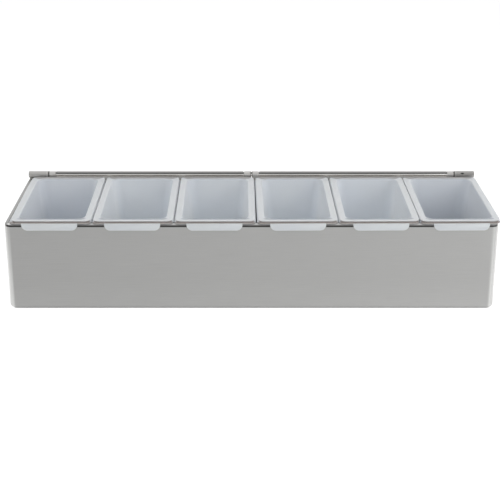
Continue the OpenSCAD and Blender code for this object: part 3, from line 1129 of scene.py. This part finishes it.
@dataclass
class Insert(Piece):
    """One moulded tub with its grooved rim and its pull tab.

    It is worked out about its own middle, and then turned and moved to its seat. Its lower
    flange is wider by one amount on the left and another on the right. Its inside's painted
    shade at each corner runs anticlockwise from the rear right.
    """

    slot: str = "insert_plastic"
    number: int = 1
    right: float = 0.0
    back: float = 0.0
    turn: float = 0.0
    count: int = 6
    sizes: Sizes = Sizes()
    width: float = 78.0
    height: float = 84.0
    rim_corner: float = 6.0
    rim_width: float = 5.6
    wall: float = 1.0
    skirt: float = 1.4
    rib: float = 1.6
    groove: float = 0.8
    taper: float = 3.5
    mouth_corner: float = 10.0
    floor_corner: float = 14.0
    fillet: float = 6.0
    floor_thickness: float = 1.2
    tab_width: float = 54.5
    tab_right: float = 0.0
    tab_corner: float = 5.8
    steps: int = 12
    hold: float = 0.4
    wider: tuple = (0.6, 0.6)
    wider_height: float = 1.6
    # Painted shade inside at each corner:
    corner_painted_shade: tuple = (1.0, 1.0, 1.0, 1.0)
    corner_spread: float = 50.0
    side_spread: float = 40.0
    front_shade_spread: float = 55.0
    full_tone_at: float = 22.0
    # Painted light on the side walls and painted shade on the end walls:
    side_wall_painted_light: tuple = (1.06, 1.045, 1.02)
    end_wall_painted_shade: tuple = (0.97, 0.98, 1.0)
    # Painted shade in and below the rim's groove, along the rear flange under the hinge, and on the front
    # of the lip:
    groove_painted_shade: tuple = (0.42, 0.36, 0.32)
    rim_edge_painted_shade: tuple = (0.8, 0.745, 0.7)
    hinge_painted_shadow: tuple = (0.5, 0.465, 0.445)
    hinge_painted_shadow_falloff: tuple = ((0.5, 1.0), (3.6, 0.9), (5.6, 0.65), (6.6, 0.4))
    lip_shade: tuple = (0.6, 0.61, 0.64)

    @property
    def depth(self) -> float:
        """Depth of the rim, front to rear."""
        return self.sizes.rim_rear - self.sizes.rim_front

    @property
    def middle(self) -> float:
        """Where the rim's middle lies, front to rear."""
        return (self.sizes.rim_rear + self.sizes.rim_front) / 2

    def outline(self, inset: float, z: float, radius: float) -> Outline:
        """The outline of the rim or the tub.

        Args:
            inset: an even distance in from the rim's edge.
            z: the height.
            radius: the corners' radius.

        Returns:
            The outline.
        """
        half, deep = self.width / 2 - inset, self.depth / 2 - inset
        above_seat = z - (self.sizes.rim_top - self.sizes.rim_height)
        flange = inset < 0.05 and 0 < above_seat < self.wider_height
        left, right = self.wider if flange else (0.0, 0.0)
        return Outline(-half - left, half + right, -deep, deep, z, radius, radius)

    def rim_radius(self, inset: float) -> float:
        """Corner radius of the rim at a distance in from its edge: it grows evenly to the mouth's."""
        return self.rim_corner + (self.mouth_corner - self.rim_corner) * inset / self.rim_width

    def wall_foot(self, inset: float, z: float, fillet: float, radius: float) -> list:
        """Rounded foot of a wall: a quarter circle from the floor up to the wall.

        Args:
            inset: the wall's inset, where the quarter circle ends.
            z: the floor's height.
            fillet: the quarter circle's radius.
            radius: the corners' radius at its end.

        Returns:
            Rows of inset, height and corner radius.
        """
        a = np.radians(np.linspace(0, 90, 7))
        inwards = fillet * (1 - np.sin(a))
        return list(zip(inset + inwards, z + fillet * (1 - np.cos(a)), radius - 0.8 * inwards))

    def section(self) -> list:
        """The wall's section. A wall's foot lies in by its height times the tangent of its taper.

        Returns:
            Rows of inset, height and corner radius, from under the floor, up the outside, over
            the rim and down the inside.
        """
        top, seat = self.sizes.rim_top, self.sizes.rim_top - self.sizes.rim_height
        under, plate = top - self.height, top - self.wall - 0.2
        groove_top, groove_foot, groove = top - 0.5, seat + 1.5, self.groove
        mouth, corner, r = self.rim_width + self.wall, self.mouth_corner, self.rim_radius
        run = (self.height - self.sizes.rim_height) * math.tan(math.radians(self.taper))
        outside = self.wall_foot(self.rim_width + run, under, self.fillet, self.floor_corner)
        inside = self.wall_foot(mouth + run, under + self.floor_thickness, self.fillet - self.wall,
                                self.floor_corner - self.wall)[::-1]
        rib = self.rim_width - self.rib
        seating = [(self.rim_width, seat, corner), (rib, seat, r(rib)), (rib, plate, r(rib)),
                   (self.skirt, plate, r(self.skirt)), (self.skirt, seat, r(self.skirt)),
                   (0.35, seat, r(0.35)), (0.1, seat + 0.1, r(0.1)), (0, seat + 0.35, self.rim_corner)]
        edge = [(0, groove_foot - 0.4, self.rim_corner), (0.12, groove_foot - 0.2, r(0.12)),
                (groove - 0.2, groove_foot, r(groove)), (groove, groove_foot + 0.2, r(groove)),
                (groove, groove_top - 0.2, r(groove)), (groove - 0.2, groove_top, r(groove)),
                (0.1, groove_top + 0.1, r(0.1)), (0.1, top - 0.22, r(0.1)), (0.4, top, r(0.4)),
                (0.4 + self.hold, top, r(0.4 + self.hold)), (3.0, top, r(3.0)), (3.6, top, r(3.6))]
        lip = [(mouth - 1.0, top, corner - 0.4), (mouth - 0.55, top - 0.05, corner - 0.6),
               (mouth - 0.2, top - 0.25, corner - 0.85), (mouth, top - 0.7, corner - self.wall),
               (mouth + 0.06, top - 1.7, corner - self.wall)]
        return outside + seating + edge + lip + inside

    def tints(self) -> np.ndarray:
        """Painted shade in the rim's groove, below it, along the hinge and on the lip, and painted light
        and shade inside.

        The painted shade in and below the groove lies at the front, where it deepens from the groove's
        top to its foot. Inside, each corner has its painted shade, which the walls between take on step
        by step, the side walls get painted light and the end walls painted shade, and all come on evenly
        from the rim down.

        Returns:
            One tint for each point of each ring.
        """
        inset, z, _ = np.array(self.section()).T
        top, seat = self.sizes.rim_top, self.sizes.rim_top - self.sizes.rim_height
        outside = inset < self.skirt
        low = np.clip((top - z) / (top - seat - 1.7), 0.35, 1)
        groove = outside * (z > seat + 1.0) * (z < top - 0.4) * low
        edge = outside & (z < seat + 1.0)
        flange = (z > top - 1.0) * np.interp(inset, *zip(*self.hinge_painted_shadow_falloff))
        inside = np.arange(len(z)) > np.argmax(inset * (z > top - 0.01))
        lip = np.minimum(inside * (z > top - 1.0) + (inset > 3.3) * (z > top - 0.01), 1)
        depth = np.clip((top - z) / self.full_tone_at, 0, 1) * inside
        ring = {way: Outline.facing(self.steps, way, self.side_spread) for way in Way}
        front_shaded = Outline.facing(self.steps, Way.FRONT, self.front_shade_spread)
        near_corner = np.array([Outline.facing(self.steps, 45 + way, self.corner_spread) for way in Way])
        corners = np.array(self.corner_painted_shade) @ near_corner / np.maximum(near_corner.sum(0), 1e-6)
        tints = 1.0
        for along_section, round_ring, tint in (
                (groove, front_shaded, self.groove_painted_shade), (edge, front_shaded, self.rim_edge_painted_shade),
                (flange, ring[Way.REAR], self.hinge_painted_shadow), (lip, ring[Way.FRONT], self.lip_shade),
                (depth, np.maximum(ring[Way.RIGHT], ring[Way.LEFT]), self.side_wall_painted_light),
                (depth, np.maximum(ring[Way.REAR], ring[Way.FRONT]), self.end_wall_painted_shade)):
            tints = tints * tinted(along_section[:, None] * round_ring, tint)
        return tints * (1 + depth[:, None] * (corners - 1))[..., None]

    def tab(self) -> Body:
        """The pull tab.

        Its face is a strip with round lower corners, carried from its back to its front, and
        leaning out by the flare about the rim's lower edge.

        Returns:
            The tab's body, about the rim's middle.
        """
        sizes, r = self.sizes, self.tab_corner
        half, high, thick = self.tab_width / 2, sizes.tab_height, sizes.tab_thickness
        root, edge = 0.8, 0.3
        left = arc_rows((-half + r, r - high), r, 180, 270, 8)
        right = arc_rows((half - r, r - high), r, 270, 360, 8)
        face = np.vstack([[(-half, root)], left, right, [(half, root)]])
        layers = [(0.0, edge), (0.3 * edge, 0.3 * edge), (edge, 0.0), (thick - edge, 0.0),
                  (thick - 0.3 * edge, 0.3 * edge), (thick, edge)]
        rings = []
        for depth, by in layers:
            flat = shrunk(face, by)
            rings.append(np.column_stack([flat[:, 0], np.full(len(flat), -depth), flat[:, 1]]))
        body = lofted(rings)
        a = math.radians(sizes.tab_flare)
        y, z = body.points[:, 1].copy(), body.points[:, 2].copy()
        body.points[:, 0] += self.tab_right
        body.points[:, 1] = y * math.cos(a) + z * math.sin(a)
        body.points[:, 2] = z * math.cos(a) - y * math.sin(a)
        body.points[:, 1:] += (-sizes.depth / 2 - sizes.tab_play - self.middle,
                               sizes.rim_top - sizes.rim_height)
        return body

    def body(self) -> Body:
        """Joins tub and tab, turns them about the rim's middle and moves them to their seat.

        The seats are a sixth of the housing's length apart, before each insert's own offset.

        Returns:
            The insert's body, in its place.
        """
        tub = lofted([self.outline(*row).ring(self.steps, self.hold) for row in self.section()],
                     tints=self.tints())
        body = Body.joined([tub, self.tab()])
        a = math.radians(self.turn)
        x, y = body.points[:, 0].copy(), body.points[:, 1].copy()
        place = (self.number - (self.count + 1) / 2) * self.sizes.length / self.count + self.right
        body.points[:, 0] = x * math.cos(a) - y * math.sin(a) + place
        body.points[:, 1] = x * math.sin(a) + y * math.cos(a) + self.middle + self.back
        return body


# ---- studio ---------------------------------------------------------------


@dataclass(frozen=True)
class Lamp:
    """One rectangular soft lamp, in metres and watts."""

    name: str
    place: tuple
    aim: tuple
    size: tuple
    power: float

    def hang(self) -> None:
        """Adds the lamp to the scene, facing what it aims at."""
        light = bpy.data.lights.new(self.name, "AREA")
        light.shape = "RECTANGLE"
        light.size, light.size_y = self.size
        light.energy = self.power
        made = bpy.data.objects.new(self.name, light)
        made.location = self.place
        made.rotation_euler = (Vector(self.aim) - Vector(self.place)).to_track_quat("-Z", "Y").to_euler()
        bpy.context.scene.collection.objects.link(made)


@dataclass
class Studio:
    """Pale floor, white surroundings, soft lamps and the camera."""

    focal_pixels: float = 1244.8
    image_pixels: float = 500.0
    sensor: float = 36.0
    tilt_down: float = 20.60
    camera_place: tuple = (-0.0015, -1.2171, 0.4921)
    ambient: float = 0.31
    backdrop: float = 1.0
    dim_side: float = 0.62
    floor_colour: float = 0.8
    floor_level: float = 0.7
    floor_mirrored: float = 0.12
    floor_behind: float = 0.5
    dims_over: tuple = (-0.6, 0.3)
    floor_dims_over: tuple = (-0.08, -0.03)
    floor_half: float = 6000.0
    floor_drop: float = 0.2
    lamps: tuple = (
        Lamp("front", (0.0, -1.25, 1.35), (0, 0, 0.05), (3.4, 2.2), 10.9),
        Lamp("right", (1.1, -0.9, 0.5), (0.1, -0.3, 0.05), (1.0, 0.8), 3.5),
        Lamp("side_left", (-1.2, -0.1, 0.95), (0, 0, 0.05), (0.8, 0.8), 3.9),
        Lamp("side_right", (1.2, -0.1, 0.95), (0, 0, 0.05), (0.8, 0.8), 3.9))

    def camera(self) -> None:
        """Places the camera at the viewing angle."""
        lens = bpy.data.cameras.new("camera")
        lens.sensor_width = self.sensor
        lens.lens = self.focal_pixels * self.sensor / self.image_pixels
        lens.clip_start, lens.clip_end = 0.01, 50.0
        made = bpy.data.objects.new("camera", lens)
        made.location = self.camera_place
        made.rotation_euler = (math.radians(90 - self.tilt_down), 0, 0)
        bpy.context.scene.collection.objects.link(made)
        bpy.context.scene.camera = made

    def surroundings(self) -> None:
        """White behind the object, a little dimmer on the camera's side, and a plain soft light."""
        world = bpy.data.worlds.new("surroundings")
        bpy.context.scene.world = world
        nodes = NodeTree(world, "Background")
        way = nodes.add("ShaderNodeSeparateXYZ", vector=nodes.place("Generated")).outputs["Y"]
        shown = nodes.between(way, self.dim_side, self.backdrop, *self.dims_over)
        nodes.fix(color=(1, 1, 1, 1), strength=nodes.levels(self.ambient, self.backdrop, shown))

    def floor(self) -> None:
        """A wide pale floor that stays white to the eye and keeps the object's shadow."""
        half, low = self.floor_half, -self.floor_drop
        verts = np.array([[-half, -half, low], [half, -half, low], [half, half, low], [-half, half, low]])
        made = Body(verts, [[0, 1, 2, 3]], verts[:, :2] * MM, np.ones((4, 3))).make("floor")
        nodes = NodeTree.material("floor_pale")
        place = nodes.add("ShaderNodeSeparateXYZ", vector=nodes.place()).outputs["Y"]
        shown = nodes.between(place, self.floor_mirrored, self.floor_behind, *self.floor_dims_over)
        nodes.fix(base_color=(*[self.floor_colour] * 3, 1), roughness=0.9, specular=0.0,
                  emission_color=(1, 1, 1, 1),
                  emission_strength=nodes.levels(0.0, self.floor_level, shown))
        made.data.materials.append(nodes.owner)

    def build(self) -> None:
        """Sets up everything that isn't the object."""
        self.camera()
        self.surroundings()
        self.floor()
        for lamp in self.lamps:
            lamp.hang()
        bpy.context.scene.view_settings.view_transform = "Standard"


# ---- all ------------------------------------------------------------------


@dataclass
class Caddy:
    """The whole caddy, with each insert's seat as it stands in use, from left to right.

    The right-hand ear's roll has a small slot, and its painted light and shade is darker than the
    left-hand one's.
    """

    right_slot_at: float = 8.5
    right_roll_painted_light: tuple = ((80, 0.63), (127, 0.77), (148, 0.55), (167, 0.55),
                         (187, 1.14), (211, 1.11), (260, 0.8))
    # Inserts 1 and 6 take painted shade inside, at their corners.
    seats: tuple = (
        {"right": 5.45, "turn": 0.3, "tab_right": -1.2, "wider": (1.6, 0.7),
         "corner_painted_shade": (0.97, 0.7, 0.72, 0.98)},
        {"right": 4.75, "turn": 0.3, "tab_right": -0.4, "wider": (0.7, 0.75)},
        {"right": 4.25, "turn": 0.4, "tab_right": -0.5, "wider": (0.8, 0.75)},
        {"right": 3.95, "turn": 0.8, "tab_right": 0.1, "wider": (0.7, 0.6)},
        {"right": 3.05, "back": 0.2, "turn": 0.8, "tab_right": 1.3, "wider": (0.6, 0.05)},
        {"right": 1.15, "back": 0.3, "turn": 0.8, "tab_right": 1.1, "wider": (0.05, 0.5),
         "corner_painted_shade": (0.62, 0.86, 0.78, 0.58)})

    def hinge(self) -> list:
        """The rod and the two ears."""
        ears = [Ear("hinge_ear_left", side=Side.LEFT),
                Ear("hinge_ear_right", slot_at=self.right_slot_at, roll=self.right_roll_painted_light)]
        return [Rod(), *ears]

    def lids(self) -> list:
        """The two lids."""
        sides = {"lid_left": Side.LEFT, "lid_right": Side.RIGHT}
        return [Lid(name, rides_on=name, side=side) for name, side in sides.items()]

    def inserts(self) -> list:
        """The six inserts."""
        return [Insert(f"insert_{number}", rides_on=f"insert_{number}", number=number, **seat)
                for number, seat in enumerate(self.seats, 1)]

    def pieces(self) -> list:
        """Every new piece, in the order of building."""
        return [Housing(), *self.hinge(), *self.lids(), *self.inserts()]

    def finishes(self) -> dict:
        """Makes the pieces' materials.

        Returns:
            A material for each slot.
        """
        finishes = {
            "housing_steel": BrushedSteel("housing_brushed"),
            "lid_steel": BrushedSteel("lid_brushed"),
            "hinge_steel": BrushedSteel("hinge_satin", tone=0.5, roughness=0.34, anisotropy=0.5),
            "rod_steel": BrushedSteel("rod_drawn", tone=0.7, roughness=0.24, anisotropy=0.6, uneven=0.03),
            "insert_plastic": MilkyPlastic("milky_polypropylene", (0.865, 0.9, 0.95))}
        return {slot: finish.make() for slot, finish in finishes.items()}

    def dress_base(self) -> None:
        """Gives the base, whose own mesh stays as it is, its finish."""
        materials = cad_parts["base_plate"].data.materials
        materials.clear()
        materials.append(BrushedSteel("base_mill", grain=Grain.ALONG_X, roughness=0.42).make())
        LOG.info("base_plate: mill finish")


def main() -> None:
    """Builds the studio and every piece in order, and notes each new piece's face count."""
    logging.basicConfig(level=logging.INFO, format="%(message)s")
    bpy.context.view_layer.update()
    Studio().build()
    caddy = Caddy()
    finishes = caddy.finishes()
    for piece in caddy.pieces():
        made = piece.build()
        piece.dress(made, finishes[piece.slot])
        LOG.info("%s: %d faces", made.name, len(made.data.polygons))
    caddy.dress_base()


if __name__ == "__main__":
    main()
